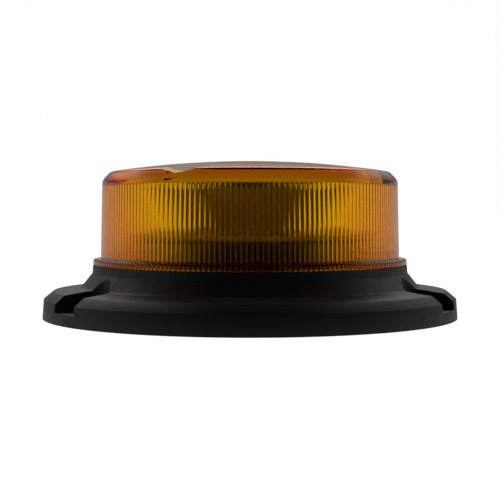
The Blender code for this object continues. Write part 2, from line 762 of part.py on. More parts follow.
def make_cable_grommet():
    """A rubber ring that grips the cover's edge; the cable's way in is its bore."""
    under = COVER_Z - GAP
    over = COVER_Z + COVER_T + GAP
    outline = [
        (GROMMET_FLANGE_R, over + FLANGE_T),
        (GROMMET_FLANGE_R, over),
        (GROMMET_NECK_R, over),
        (GROMMET_NECK_R, under),
        (GROMMET_FLANGE_R, under),
        (GROMMET_FLANGE_R - FLANGE_EDGE, under - FLANGE_T),
        (GROMMET_BORE_R, under - FLANGE_T),
        (GROMMET_BORE_R, over + FLANGE_T),
    ]
    turn("cable_grommet", outline, "seal_rubber", steps=2 * SMALL_STEPS)


def make_breather_vent():
    under = COVER_Z - GAP
    over = COVER_Z + COVER_T + VENT_STAND
    outline = [
        (0.0, over),
        (VENT_NECK_R, over),
        (VENT_NECK_R, under),
        (VENT_CAP_R, under),
        (VENT_CAP_R - FLANGE_EDGE, under - FLANGE_T),
        (0.0, under - FLANGE_T),
    ]
    vent = turn("breather_vent", outline, "vent_plastic", steps=SMALL_STEPS, closed=False)
    vent.location = (*VENT_PLACE, 0.0)


# ---------------------------------------------------------------- screws
def screw_outline(length):
    """Pan head above z = 0 with a round socket, shank below."""
    return [
        (0.0, SCREW_HEAD_H / 2),
        (SCREW_SOCKET_R, SCREW_HEAD_H / 2),
        (SCREW_SOCKET_R, SCREW_HEAD_H),
        (SCREW_HEAD_R - SCREW_EDGE, SCREW_HEAD_H),
        (SCREW_HEAD_R, SCREW_HEAD_H - SCREW_EDGE),
        (SCREW_HEAD_R, 0.0),
        (SCREW_SHANK_R, 0.0),
        (SCREW_SHANK_R, SCREW_POINT - length),
        (0.0, -length),
    ]


def make_screws(name, circle, seat_z, length, head_up):
    """A ring of screws whose heads bear on a surface at seat_z."""
    for index, place in enumerate(circle_places(circle)):
        screw = turn(f"{name}_{index + 1}", screw_outline(length), "screw_steel", steps=10,
                     closed=False)
        screw.location = (*place, seat_z + (PAD_GAP if head_up else -PAD_GAP))
        if not head_up:
            screw.rotation_euler[0] = math.pi


def make_all_screws():
    make_screws("cover_screw", COVER_SCREWS, COVER_Z, LONG_SCREW, False)
    make_screws("heat_sink_screw", DRUM_SCREWS, DECK_Z - DECK_T, SHORT_SCREW, False)
    make_screws("driver_board_screw", DRIVER_SCREWS, DRIVER_BOARD_Z, SHORT_SCREW, False)
    make_screws("reflector_screw", REFLECTOR_SCREWS, reflector_foot_z() + TRUMPET_FLOOR_T,
                LONG_SCREW, True)


def build():
    clear_scene()
    make_collections()
    make_materials()
    make_base_housing()
    make_mounting_gasket()
    make_lens()
    make_lens_seal()
    make_heat_sink()
    make_thermal_pad()
    make_led_board()
    make_leds()
    make_reflector()
    make_reflector_cover()
    make_driver_board()
    make_driver_parts()
    make_connectors()
    make_bottom_cover()
    make_cover_gasket()
    make_cable_grommet()
    make_breather_vent()
    make_all_screws()


build()
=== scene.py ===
"""Looks of the low-profile amber LED warning beacon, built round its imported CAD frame."""

import math

import bpy
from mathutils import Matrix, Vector


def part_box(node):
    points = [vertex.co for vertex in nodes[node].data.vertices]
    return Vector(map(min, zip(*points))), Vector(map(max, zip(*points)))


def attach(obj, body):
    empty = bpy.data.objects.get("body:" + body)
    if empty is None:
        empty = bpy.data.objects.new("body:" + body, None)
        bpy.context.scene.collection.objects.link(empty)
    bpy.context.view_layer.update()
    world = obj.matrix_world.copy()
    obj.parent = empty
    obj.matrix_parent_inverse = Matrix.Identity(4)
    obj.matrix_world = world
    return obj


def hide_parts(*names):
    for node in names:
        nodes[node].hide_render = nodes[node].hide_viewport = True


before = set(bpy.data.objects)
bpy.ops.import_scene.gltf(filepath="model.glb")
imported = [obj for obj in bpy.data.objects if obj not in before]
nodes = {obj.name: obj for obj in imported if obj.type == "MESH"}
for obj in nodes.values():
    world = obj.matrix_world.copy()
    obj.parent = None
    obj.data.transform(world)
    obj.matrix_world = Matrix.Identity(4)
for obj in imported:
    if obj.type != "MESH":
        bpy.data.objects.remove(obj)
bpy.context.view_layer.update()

MM = 0.001
BODY = "root"

# Camera: the beacon is seen from the front, a little round to its left, from lens height
CAMERA_DISTANCE = 425.6 * MM
CAMERA_AZIMUTH_DEG = 265.4
CAMERA_HEIGHT = 39.35 * MM
CAMERA_PITCH_DEG = 1.87
CAMERA_LENS_MM = 78.3

# Studio: white as seen, while what the beacon mirrors is dark in front and brighter behind.
# Each ..._Y and ..._Z is a span of a direction's part to the back or upwards.
WHITE_LEVEL = 0.99
FLOOR_GLOW = 0.97
SURROUND_Y = (-0.95, -0.2)
SURROUND_LEAN = -1.0                # takes the dark front further back the higher it is
FRONT_LEVEL = 0.0                   # mirrored by an outer surface from in front
BACK_Z = (0.0, 0.15, 0.6)
BACK_LEVEL = (0.4, 0.17, 0.9)       # mirrored by an outer surface from behind, by height
CANOPY_Z = (0.6, 0.7)
CANOPY_SHADE = 0.25                 # share of the back's level that is left above it
LENS_SURROUND_Y = (-0.6, 1.0)
LENS_SURROUND_LEVEL = (0.02, 1.05)  # mirrored by what the lens holds
PIPED_Y = (-0.95, -0.3)
PIPED_LEVEL = (0.0, 1.25)           # seen by light that turns round inside the lens wall
MATTE_LEVEL = 0.5                   # falls on the matte surfaces inside the lens
OVERHEAD_Z = (0.0, 0.6)
OVERHEAD_SHADE = 0.29               # share of the level inside the lens that is left overhead
THROUGH_Y = (0.75, 0.96)
THROUGH_LEVEL = (0.85, 0.49)        # seen through the lens, aside and straight
LIGHT_BOUNCES = 24                  # turns that light may take inside the lens
LENS_MIDDLE_Z = 40.0 * MM
FLOOR_HALF = 6.0
FLOOR_T = 20.0 * MM
TOP_LIGHT_W = 4.0
TOP_LIGHT_PLACE = (0.0, 0.75, 0.85)
TOP_LIGHT_TARGET = (0.0, 0.0, 0.03)
TOP_LIGHT_SIZE = (1.1, 0.6)

# Sizes read from the frame
housing_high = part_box("base_housing")[1]
lens_low, lens_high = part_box("lens")
sink_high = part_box("heat_sink")[1]
board_low, board_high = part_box("led_board")
reflector_low, reflector_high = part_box("reflector")
reflector_cover_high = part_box("reflector_cover")[1]

# Base housing, as in the CAD
RIM_TOP_R = 79.5 * MM
RIM_H = 7.3 * MM
SHELF_OUTER_R = 75.9 * MM
SHELF_OUTER_Z = 10.3 * MM
SHELF_INNER_R = 65.4 * MM
SHELF_INNER_Z = 11.6 * MM
SHELF_FILLET = 1.6 * MM
COLLAR_R = 61.1 * MM
COLLAR_FOOT_Z = 17.0 * MM
GASKET_RECESS = (62.0 * MM, 77.2 * MM, 1.8 * MM)
FOOT_INNER_R = 57.3 * MM
LEDGE_Z = 6.8 * MM
CAVITY_R = 51.2 * MM
DECK_Z = 15.5 * MM
DECK_T = 2.5 * MM
DECK_HOLE_R = 36.0 * MM
DECK_OUTER_R = 50.3 * MM
GROOVE_OUTER_R = 58.0 * MM
GROOVE_INNER_R = 53.3 * MM
GROOVE_Z = 13.4 * MM
CHANNEL_AZIMUTHS = (90.0, 210.0, 330.0)
CHANNEL_W = 15.5 * MM
CHANNEL_FLOOR_Z = 4.3 * MM
CHANNEL_END_R = 61.9 * MM
BOLT_R = 70.0 * MM
BOLT_SLOT_W = 6.8 * MM
BOLT_SLOT_L = 11.0 * MM
COLLAR_DRAFT = 0.2 * MM
CHANNEL_REACH_R = 5.0 * MM          # how far the channel tools reach past the rim
CHANNEL_REACH_Z = 2.0 * MM          # and above the foot of the collar
SLOT_REACH = 1.0 * MM               # how far the slot tools reach below and above
HOUSING_STEPS = 240
EDGE_ROUND = 0.45 * MM
GAP = 0.3 * MM                      # between pieces that touch

# Lens, as in the CAD, with the flutes that only show here
FLANGE_TOP_Z = 22.5 * MM
FLANGE_ROUND = 0.9 * MM
FLANGE_EDGE = 0.2 * MM
WALL_FOOT_FLARE = (0.3 * MM, 0.4 * MM)  # out and up, where the wall meets the flange
WALL_FOOT_R = 57.9 * MM
WALL_TOP_R = 57.2 * MM
WALL_TOP_Z = 51.8 * MM
WALL_INNER_R = 54.0 * MM
SHOULDER_R = 53.8 * MM
SHOULDER_Z = 55.7 * MM
CROWN_R = 53.0 * MM                 # where the dome starts to round over into the shoulder
CROWN_ROUND = 4.0 * MM
CROWN_END_DEG = 60.0
CROWN_ROWS = 4
DOME_ROWS = 30
UNDER_ROWS = 20
SLOPE_ROWS = 10
KNEE_R = 56.3 * MM
KNEE_Z = 53.4 * MM
KNEE_END = (WALL_TOP_R - 0.1 * MM, WALL_TOP_Z + 0.3 * MM)
KNEE_FOOT = (WALL_TOP_R + 0.02 * MM, WALL_TOP_Z - 0.8 * MM)
DOME_T = 3.0 * MM
DOME_INNER_R = 49.2 * MM
SPIGOT_OUTER_R = 57.5 * MM
FLUTE_COUNT = 192
FLUTE_FACETS = 12
LENS_STEPS = 4 * FLUTE_COUNT
LENS_SMOOTH_DEG = 20.0              # edges sharper than this stay crisp
FLUTE_DEPTH = 0.20 * MM
FLUTE_TOP_Z = 50.35 * MM
FLUTE_FOOT_Z = 17.5 * MM
FLUTE_RUN_OUT = 0.5 * MM
INNER_CORNER = (52.75 * MM, 51.6 * MM)
NOTCH_AZIMUTHS = (-31.875, 58.125, 148.125, 238.125)
NOTCH_DEPTH = 1.6 * MM
NOTCH_HALF_W = 8.3 * MM
NOTCH_TILT_DEG = 9.0

# Lens colour: white, with painted shade that deepens the amber up the shoulder
SHOULDER_PAINTED_SHADE_LOW = (0.9, 0.45, 0.3)
SHOULDER_PAINTED_SHADE_HIGH = (0.8, 0.2, 0.1)
PAINTED_SHADE_RADII = (CROWN_R, CROWN_R + 0.8 * MM)          # comes in past the dome
PAINTED_SHADE_START_Z = (WALL_TOP_Z - 1.2 * MM, WALL_TOP_Z)  # comes in above the wall
PAINTED_SHADE_DEEPENS_Z = (WALL_TOP_Z, SHOULDER_Z - 1.0 * MM)

# Light engine
LED_COUNT = 12
TRUMPET_NECK_R = 22.5 * MM
TRUMPET_FLARE = 0.55
TRUMPET_BEND = 17.0                # per metre
SINK_R = 39.8 * MM
SINK_WALL = 3.0 * MM
SINK_HOLE_R = 9.0 * MM
SINK_EDGE = 0.5 * MM
LUG_TOP_Z = 20.5 * MM
LUG_R = 3.6 * MM
LUG_CIRCLE_R = 43.5 * MM
LUG_AZIMUTHS = (45.0, 165.0, 285.0)
HUB_R = 17.5 * MM
HUB_EDGE = 0.6 * MM
CAP_GROOVE_W = 2.4 * MM
CAP_GROOVE_FLOOR_W = 1.92 * MM
CAP_GROOVE_DEPTH = 0.4 * MM
CAP_TOP_Z = 47.4 * MM
CAP_T = 1.5 * MM
TRUMPET_WALL = 1.4 * MM
TRUMPET_FLOOR_T = 1.6 * MM
TRUMPET_ROWS = 40
BOARD_EDGE = 0.1 * MM
LUG_FOOT_RISE = 0.4 * MM
TURNED_STEPS = 160


# ---------------------------------------------------------------- mesh helpers
def adopt(obj, material, slot, *replaced):
    """Gives a new piece its material and its body, and hides the CAD nodes it stands for."""
    obj.data.materials.append(material)
    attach(obj, BODY)
    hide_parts(*replaced)


def smooth(mesh, angle_deg=30.0):
    mesh.shade_smooth()
    mesh.set_sharp_from_angle(angle=math.radians(angle_deg))


def arc(centre, radius, start_deg, end_deg, steps):
    """Points (r, z) along a circular arc, both ends included."""
    points = []
    for step in range(steps + 1):
        angle = math.radians(start_deg + (end_deg - start_deg) * step / steps)
        points.append((centre[0] + radius * math.cos(angle),
                       centre[1] + radius * math.sin(angle)))
    return points


def between(start, end, steps):
    """Points (r, z) along a straight line, its end included but not its start."""
    return [(start[0] + (end[0] - start[0]) * step / steps,
             start[1] + (end[1] - start[1]) * step / steps) for step in range(1, steps + 1)]


def polar(radius, azimuth_deg):
    angle = math.radians(azimuth_deg)
    return (radius * math.cos(angle), radius * math.sin(angle))


def ring_faces(upper, lower):
    """Faces between two rings, where one ring may have a whole multiple of the other's points."""
    many, few = max(len(upper), len(lower)), min(len(upper), len(lower))
    faces = []
    for step in range(few):
        corners = []
        for ring, direction in ((upper, -1), (lower, 1)):
            share = len(ring) // few
            span = [ring[(step * share + index) % len(ring)] for index in range(share + 1)]
            corners += span[::direction]
        faces.append(list(dict.fromkeys(corners)))
    return faces


def lathe(name, outline, steps, closed, shape=None, finer=None):
    """Turns an (r, z) outline that runs down its outer side about Z into a mesh object.

    An open outline starts and ends on the axis. shape(r, angle, z, row) may move a point.
    finer maps a row to how many times more points its ring has.
    """
    vertices = []
    rings = []
    for row, (radius, height) in enumerate(outline):
        count = steps * (finer or {}).get(row, 1)
        if radius == 0.0:
            rings.append([len(vertices)] * count)
            vertices.append((0.0, 0.0, height))
            continue
        ring = []
        for step in range(count):
            angle = math.tau * step / count
            r, z = shape(radius, angle, height, row) if shape else (radius, height)
            ring.append(len(vertices))
            vertices.append((r * math.cos(angle), r * math.sin(angle), z))
        rings.append(ring)
    faces = []
    pairs = list(zip(rings, rings[1:]))
    if closed:
        pairs.append((rings[-1], rings[0]))
    for upper, lower in pairs:
        faces += ring_faces(upper, lower)
    mesh = bpy.data.meshes.new(name)
    mesh.from_pydata(vertices, [], faces)
    mesh.update()
    obj = bpy.data.objects.new(name, mesh)
    bpy.context.scene.collection.objects.link(obj)
    return obj


def prism(name, outline, bottom, top):
    """A closed solid from a flat (x, y) outline, counter-clockwise, between two heights."""
    mesh = bpy.data.meshes.new(name)
    count = len(outline)
    vertices = [(x, y, bottom) for x, y in outline] + [(x, y, top) for x, y in outline]
    faces = [tuple(reversed(range(count))), tuple(range(count, 2 * count))]
    for index in range(count):
        following = (index + 1) % count
        faces.append((index, following, count + following, count + index))
    mesh.from_pydata(vertices, [], faces)
    mesh.update()
    obj = bpy.data.objects.new(name, mesh)
    bpy.context.scene.collection.objects.link(obj)
    return obj


def combine(obj, tools, operation):
    """Cuts the tools out of obj or joins them on, applies it and removes them."""
    for tool in tools:
        boolean = obj.modifiers.new(operation.lower(), "BOOLEAN")
        boolean.operation = operation
        boolean.object = tool
        boolean.solver = "EXACT"
    bake_modifiers(obj)
    for tool in tools:
        bpy.data.objects.remove(tool, do_unlink=True)


def bake_modifiers(obj):
    graph = bpy.context.evaluated_depsgraph_get()
    mesh = bpy.data.meshes.new_from_object(obj.evaluated_get(graph))
    obj.modifiers.clear()
    obj.data = mesh


def round_edges(obj, width, segments=2, angle_deg=25.0):
    bevel = obj.modifiers.new("round", "BEVEL")
    bevel.width = width
    bevel.segments = segments
    bevel.limit_method = "ANGLE"
    bevel.angle_limit = math.radians(angle_deg)
    bevel.harden_normals = False
    bake_modifiers(obj)


# ---------------------------------------------------------------- material helpers
class Nodes:
    """A material's node tree with short ways to add and join nodes."""

    def __init__(self, name):
        self.material = bpy.data.materials.new(name)
        self.material.use_nodes = True
        self.tree = self.material.node_tree
        self.shader = self.tree.nodes["Principled BSDF"]
        self.output = self.tree.nodes["Material Output"]
        self.place = self.add("ShaderNodeTexCoord").outputs["Object"]

    def add(self, kind, **settings):
        node = self.tree.nodes.new(kind)
        for key, value in settings.items():
            setattr(node, key, value)
        return node

    def join(self, source, target):
        self.tree.links.new(source, target)

    def noise(self, scale, detail=2.0, roughness=0.5, stretch=None):
        texture = self.add("ShaderNodeTexNoise")
        texture.inputs["Scale"].default_value = scale
        texture.inputs["Detail"].default_value = detail
        texture.inputs["Roughness"].default_value = roughness
        if stretch:
            mapping = self.add("ShaderNodeMapping")
            mapping.inputs["Scale"].default_value = stretch
            self.join(self.place, mapping.inputs["Vector"])
            self.join(mapping.outputs["Vector"], texture.inputs["Vector"])
        else:
            self.join(self.place, texture.inputs["Vector"])
        return texture.outputs["Fac"]

    def spread(self, value, low, high, from_low=0.3, from_high=0.7):
        """Maps a texture value on to a range."""
        node = self.add("ShaderNodeMapRange")
        node.inputs["From Min"].default_value = from_low
        node.inputs["From Max"].default_value = from_high
        node.inputs["To Min"].default_value = low
        node.inputs["To Max"].default_value = high
        self.join(value, node.inputs["Value"])
        return node.outputs["Result"]

    def blend(self, value, first, second):
        node = self.add("ShaderNodeMix", data_type="RGBA")
        node.inputs[6].default_value = (*first, 1.0)
        node.inputs[7].default_value = (*second, 1.0)
        self.join(value, node.inputs[0])
        return node.outputs[2]

    def bump(self, value, distance, strength=1.0):
        node = self.add("ShaderNodeBump")
        node.inputs["Distance"].default_value = distance
        node.inputs["Strength"].default_value = strength
        self.join(value, node.inputs["Height"])
        self.join(node.outputs["Normal"], self.shader.inputs["Normal"])


def moulded_plastic(name, dark, light, roughness):
    """Moulded plastic: a fine spark-eroded grain, slight cloudiness in colour and gloss."""
    n = Nodes(name)
    cloud = n.noise(28.0, detail=3.0)
    n.join(n.blend(n.spread(cloud, 0.0, 1.0), dark, light), n.shader.inputs["Base Color"])
    n.join(n.spread(n.noise(300.0, detail=4.0), roughness[0], roughness[1]),
           n.shader.inputs["Roughness"])
    n.shader.inputs["Specular IOR Level"].default_value = 0.35
    n.bump(n.noise(2600.0, detail=3.0, roughness=0.6), 0.03 * MM)
    return n.material


def shoulder_painted_shade(n):
    """Painted shade: white on the dome and the wall, and a deepening amber painted up the shoulder
    between them.
    """
    parts = n.add("ShaderNodeSeparateXYZ")
    n.join(n.place, parts.inputs["Vector"])
    height = parts.outputs["Z"]
    flat = n.add("ShaderNodeVectorMath", operation="MULTIPLY")
    n.join(n.place, flat.inputs[0])
    flat.inputs[1].default_value = (1.0, 1.0, 0.0)
    radius = n.add("ShaderNodeVectorMath", operation="LENGTH")
    n.join(flat.outputs["Vector"], radius.inputs[0])
    beyond_dome = n.spread(radius.outputs["Value"], 0.0, 1.0, *PAINTED_SHADE_RADII)
    deeper_painted_shade = n.blend(n.spread(height, 0.0, 1.0, *PAINTED_SHADE_DEEPENS_Z), SHOULDER_PAINTED_SHADE_LOW,
                   SHOULDER_PAINTED_SHADE_HIGH)
    above_wall = n.spread(height, 0.0, 1.0, *PAINTED_SHADE_START_Z)
    # painted shade: the deeper amber is mixed in over white on the shoulder
    painted_shade_mix = n.add("ShaderNodeMix", data_type="RGBA")
    n.join(product(n.tree, beyond_dome, above_wall), painted_shade_mix.inputs[0])
    painted_shade_mix.inputs[6].default_value = (1.0, 1.0, 1.0, 1.0)
    n.join(deeper_painted_shade, painted_shade_mix.inputs[7])
    return painted_shade_mix.outputs[2]


def amber_glass():
    """Clear amber polycarbonate, coloured by how far light goes through it.

    The shoulder is thick and gathers light from all round the wall; its deeper amber is painted
    shade in the base colour.
    """
    n = Nodes("amber_lens")
    # painted shade: the shoulder's deeper amber is painted into the base colour
    n.join(shoulder_painted_shade(n), n.shader.inputs["Base Color"])
    n.shader.inputs["Transmission Weight"].default_value = 1.0
    n.shader.inputs["IOR"].default_value = 1.586
    n.shader.inputs["Specular Tint"].default_value = (1.0, 0.62, 0.1, 1.0)
    n.join(n.spread(n.noise(60.0, detail=4.0), 0.015, 0.05), n.shader.inputs["Roughness"])
    n.bump(n.noise(90.0, detail=2.0), 0.01 * MM, 0.6)
    volume = n.add("ShaderNodeVolumeAbsorption")
    volume.inputs["Color"].default_value = (0.981, 0.912, 0.0, 1.0)
    volume.inputs["Density"].default_value = 1400.0
    n.join(volume.outputs["Volume"], n.output.inputs["Volume"])
    return n.material


def metal(name, colour, roughness, metallic=1.0, turned=None):
    """Metal with a light haze in its gloss, and fine turning lines if asked."""
    n = Nodes(name)
    n.shader.inputs["Metallic"].default_value = metallic
    darker = tuple(0.85 * part for part in colour)
    n.join(n.blend(n.spread(n.noise(40.0, detail=3.0), 0.0, 1.0), darker, colour),
           n.shader.inputs["Base Color"])
    n.join(n.spread(n.noise(160.0, detail=4.0), roughness[0], roughness[1]),
           n.shader.inputs["Roughness"])
    lines = n.noise(turned or 900.0, detail=2.0, stretch=(0.02, 0.02, 1.0) if turned else None)
    n.bump(lines, 0.01 * MM, 0.5)
    return n.material


def rubber(name, colour):
    n = Nodes(name)
    lighter = tuple(1.8 * part for part in colour)
    n.join(n.blend(n.spread(n.noise(200.0, detail=5.0), 0.0, 1.0), colour, lighter),
           n.shader.inputs["Base Color"])
    n.join(n.spread(n.noise(420.0, detail=3.0), 0.65, 0.9), n.shader.inputs["Roughness"])
    n.bump(n.noise(1500.0, detail=3.0), 0.03 * MM, 0.7)
    return n.material


def circuit_board(name, mask, copper):
    """Solder mask over faintly raised copper areas."""
    n = Nodes(name)
    cells = n.add("ShaderNodeTexVoronoi", distance="MANHATTAN")
    cells.inputs["Scale"].default_value = 260.0
    n.join(n.place, cells.inputs["Vector"])
    areas = n.spread(cells.outputs["Color"], 0.0, 1.0, 0.45, 0.5)
    n.join(n.blend(areas, mask, copper), n.shader.inputs["Base Color"])
    n.join(n.spread(n.noise(500.0), 0.28, 0.42), n.shader.inputs["Roughness"])
    n.bump(areas, 0.02 * MM, 0.4)
    return n.material


def phosphor():
    n = Nodes("led_phosphor")
    n.join(n.blend(n.spread(n.noise(900.0, detail=3.0), 0.0, 1.0), (0.80, 0.36, 0.04),
                   (0.95, 0.55, 0.12)), n.shader.inputs["Base Color"])
    n.join(n.spread(n.noise(700.0), 0.15, 0.3), n.shader.inputs["Roughness"])
    n.shader.inputs["Coat Weight"].default_value = 0.6
    return n.material


# ---------------------------------------------------------------- pieces
def housing_outline():
    slope_deg = math.degrees(math.atan2(COLLAR_FOOT_Z - SHELF_INNER_Z, SHELF_INNER_R - COLLAR_R))
    fillet_centre = (SHELF_INNER_R + SHELF_FILLET * math.tan(math.radians(slope_deg / 2)),
                     SHELF_INNER_Z + SHELF_FILLET)
    recess_inner, recess_outer, recess_top = GASKET_RECESS
    top = housing_high.z
    return [
        (COLLAR_R - COLLAR_DRAFT, top),
        (COLLAR_R, COLLAR_FOOT_Z),
        *arc(fillet_centre, SHELF_FILLET, 270 - slope_deg, 270, 6),
        (SHELF_OUTER_R, SHELF_OUTER_Z),
        (RIM_TOP_R, RIM_H),
        (housing_high.x, 0.0),
        (recess_outer, 0.0),
        (recess_outer, recess_top),
        (recess_inner, recess_top),
        (recess_inner, 0.0),
        (FOOT_INNER_R, 0.0),
        (FOOT_INNER_R, LEDGE_Z),
        (CAVITY_R, LEDGE_Z),
        (CAVITY_R, DECK_Z - DECK_T),
        (DECK_HOLE_R, DECK_Z - DECK_T),
        (DECK_HOLE_R, DECK_Z),
        (DECK_OUTER_R, DECK_Z),
        (DECK_OUTER_R, top),
        (GROOVE_INNER_R, top),
        (GROOVE_INNER_R, GROOVE_Z),
        (GROOVE_OUTER_R, GROOVE_Z),
        (GROOVE_OUTER_R, top),
    ]


def slot_outline(inner_r, outer_r, width, azimuth, outer_round):
    """Outline of a radial slot with a round inner end, and a round outer end if asked."""
    half = width / 2
    points = []
    inner_centre = inner_r + half
    for x, y in arc((inner_centre, 0.0), half, 90, 270, 16):
        points.append((x, y))
    if outer_round:
        points += arc((outer_r - half, 0.0), half, -90, 90, 16)
    else:
        points += [(outer_r, -half), (outer_r, half)]
    turn = math.radians(azimuth)
    return [(x * math.cos(turn) - y * math.sin(turn), x * math.sin(turn) + y * math.cos(turn))
            for x, y in points]


def bolt_slot_tools(bottom, top):
    tools = []
    for azimuth in CHANNEL_AZIMUTHS:
        outline = slot_outline(BOLT_R - BOLT_SLOT_L / 2, BOLT_R + BOLT_SLOT_L / 2, BOLT_SLOT_W,
                               azimuth, True)
        tools.append(prism("bolt_slot", outline, bottom, top))
    return tools


def make_housing(material):
    housing = lathe("base_housing_shell", housing_outline(), HOUSING_STEPS, True)
    tools = []
    for azimuth in CHANNEL_AZIMUTHS:
        outline = slot_outline(CHANNEL_END_R, housing_high.x + CHANNEL_REACH_R, CHANNEL_W, azimuth,
                               False)
        tools.append(prism("channel", outline, CHANNEL_FLOOR_Z, COLLAR_FOOT_Z + CHANNEL_REACH_Z))
    tools += bolt_slot_tools(-SLOT_REACH, CHANNEL_FLOOR_Z + SLOT_REACH)
    combine(housing, tools, "DIFFERENCE")
    round_edges(housing, EDGE_ROUND)
    smooth(housing.data, 40.0)
    adopt(housing, material, "housing_plastic", "base_housing")


def notched(radius, angle, height):
    """Lowers the dome and shoulder where the V notches run out through their edge."""
    lowest = height
    for azimuth in NOTCH_AZIMUTHS:
        turn = angle - math.radians(azimuth)
        along = radius * math.cos(turn)
        if along <= 0.0:
            continue
        across = abs(radius * math.sin(turn))
        valley = SHOULDER_Z - NOTCH_DEPTH + (SHOULDER_R - along) * math.tan(
            math.radians(NOTCH_TILT_DEG))
        lowest = min(lowest, valley + across * NOTCH_DEPTH / NOTCH_HALF_W)
    return (radius, lowest)


def fluted(radius, angle):
    """Inner wall radius across convex flutes, round in the middle and sharp between."""
    place = (angle * FLUTE_COUNT / math.tau) % 1.0
    swell = 1.0 - (2.0 * place - 1.0) ** 2
    return radius - FLUTE_DEPTH * swell


def make_lens(material):
    rise = lens_high.z - SHOULDER_Z
    dome_r = (SHOULDER_R ** 2 + rise ** 2) / (2 * rise)
    centre = (0.0, lens_high.z - dome_r)
    edge_deg = math.degrees(math.asin(CROWN_R / dome_r))
    dome = arc(centre, dome_r, 90, 90 - edge_deg, DOME_ROWS)
    dome[0] = (0.0, lens_high.z)
    under_deg = math.degrees(math.asin(DOME_INNER_R / (dome_r - DOME_T)))
    under = arc(centre, dome_r - DOME_T, 90 - under_deg, 90, UNDER_ROWS)
    under[-1] = (0.0, lens_high.z - DOME_T)
    flange_foot = housing_high.z + GAP
    flange_centre = (lens_high.x - FLANGE_ROUND, FLANGE_TOP_Z - FLANGE_ROUND)
    crown_r, crown_z = dome[-1]
    round_centre = (crown_r - CROWN_ROUND * math.sin(math.radians(edge_deg)),
                    crown_z - CROWN_ROUND * math.cos(math.radians(edge_deg)))
    rounded = arc(round_centre, CROWN_ROUND, 90 - edge_deg, CROWN_END_DEG, CROWN_ROWS)[1:]
    outside = [
        *dome,
        *rounded,
        *between(rounded[-1], (KNEE_R, KNEE_Z), SLOPE_ROWS),
        KNEE_END,
        (WALL_TOP_R, WALL_TOP_Z),
        KNEE_FOOT,
        (WALL_FOOT_R, FLANGE_TOP_Z + WALL_FOOT_FLARE[1]),
        (WALL_FOOT_R + WALL_FOOT_FLARE[0], FLANGE_TOP_Z),
        *arc(flange_centre, FLANGE_ROUND, 90, 0, 5),
        (lens_high.x, flange_foot + FLANGE_EDGE),
        (lens_high.x - FLANGE_EDGE, flange_foot),
        (SPIGOT_OUTER_R, flange_foot),
        (SPIGOT_OUTER_R, lens_low.z),
        (WALL_INNER_R, lens_low.z),
    ]
    flutes = [
        (WALL_INNER_R, FLUTE_FOOT_Z - FLUTE_RUN_OUT),
        (WALL_INNER_R, FLUTE_FOOT_Z),
        (WALL_INNER_R, FLUTE_TOP_Z - FLUTE_RUN_OUT),
        (WALL_INNER_R, FLUTE_TOP_Z),
    ]
    outline = [*outside, *flutes, INNER_CORNER, *under]
    notch_rows = len(dome) + len(rounded) + SLOPE_ROWS
    first_flute = len(outside) + 1

    def shape(radius, angle, height, row):
        if row < notch_rows:
            return notched(radius, angle, height)
        if row in (first_flute, first_flute + 1):
            return (fluted(radius, angle), height)
        return (radius, height)

    finer = {row: FLUTE_COUNT * FLUTE_FACETS // LENS_STEPS
             for row in range(first_flute - 1, first_flute + 3)}
    lens = lathe("lens_fluted", outline, LENS_STEPS, False, shape, finer)
    smooth(lens.data, LENS_SMOOTH_DEG)
    adopt(lens, material, "amber_lens", "lens")


def trumpet_r(height):
    """Radius of the mirror at a height above the reflector's foot, as in the CAD."""
    return TRUMPET_NECK_R + TRUMPET_FLARE * height + TRUMPET_BEND * height ** 2


def make_reflector(material):
    foot = reflector_low.z
    rise = reflector_high.z - foot
    heights = [rise * row / TRUMPET_ROWS for row in range(TRUMPET_ROWS + 1)]
    inside = [(trumpet_r(h) - TRUMPET_WALL, foot + h) for h in heights if h > TRUMPET_FLOOR_T]
    outside = [(trumpet_r(h), foot + h) for h in reversed(heights)]
    floor = foot + TRUMPET_FLOOR_T
    outline = [(0.0, floor), (TRUMPET_NECK_R - TRUMPET_WALL, floor), *inside, *outside, (0.0, foot)]
    reflector = lathe("reflector_trumpet", outline, TURNED_STEPS, False)
    smooth(reflector.data)
    adopt(reflector, material, "reflector_metal", "reflector")


def make_reflector_cover(material):
    """A thin lid in the trumpet's mouth with a raised hub and a shallow ring groove."""
    bottom = CAP_TOP_Z - CAP_T
    clearance = TRUMPET_WALL + GAP
    top_r = trumpet_r(CAP_TOP_Z - reflector_low.z) - clearance
    bottom_r = trumpet_r(bottom - reflector_low.z) - clearance
    hub_top = reflector_cover_high.z
    groove_r = (HUB_R + top_r) / 2
    groove_z = CAP_TOP_Z - CAP_GROOVE_DEPTH
    outline = [
        (0.0, hub_top),
        *arc((HUB_R - HUB_EDGE, hub_top - HUB_EDGE), HUB_EDGE, 90, 0, 4),
        (HUB_R, CAP_TOP_Z),
        (groove_r - CAP_GROOVE_W / 2, CAP_TOP_Z),
        (groove_r - CAP_GROOVE_FLOOR_W / 2, groove_z),
        (groove_r + CAP_GROOVE_FLOOR_W / 2, groove_z),
        (groove_r + CAP_GROOVE_W / 2, CAP_TOP_Z),
        (top_r, CAP_TOP_Z),
        (bottom_r, bottom),
        (HUB_R - CAP_T, bottom),
        (HUB_R - CAP_T, hub_top - CAP_T),
        (0.0, hub_top - CAP_T),
    ]
    cover = lathe("reflector_lid", outline, TURNED_STEPS, False)
    smooth(cover.data)
    adopt(cover, material, "cap_plastic", "reflector_cover")


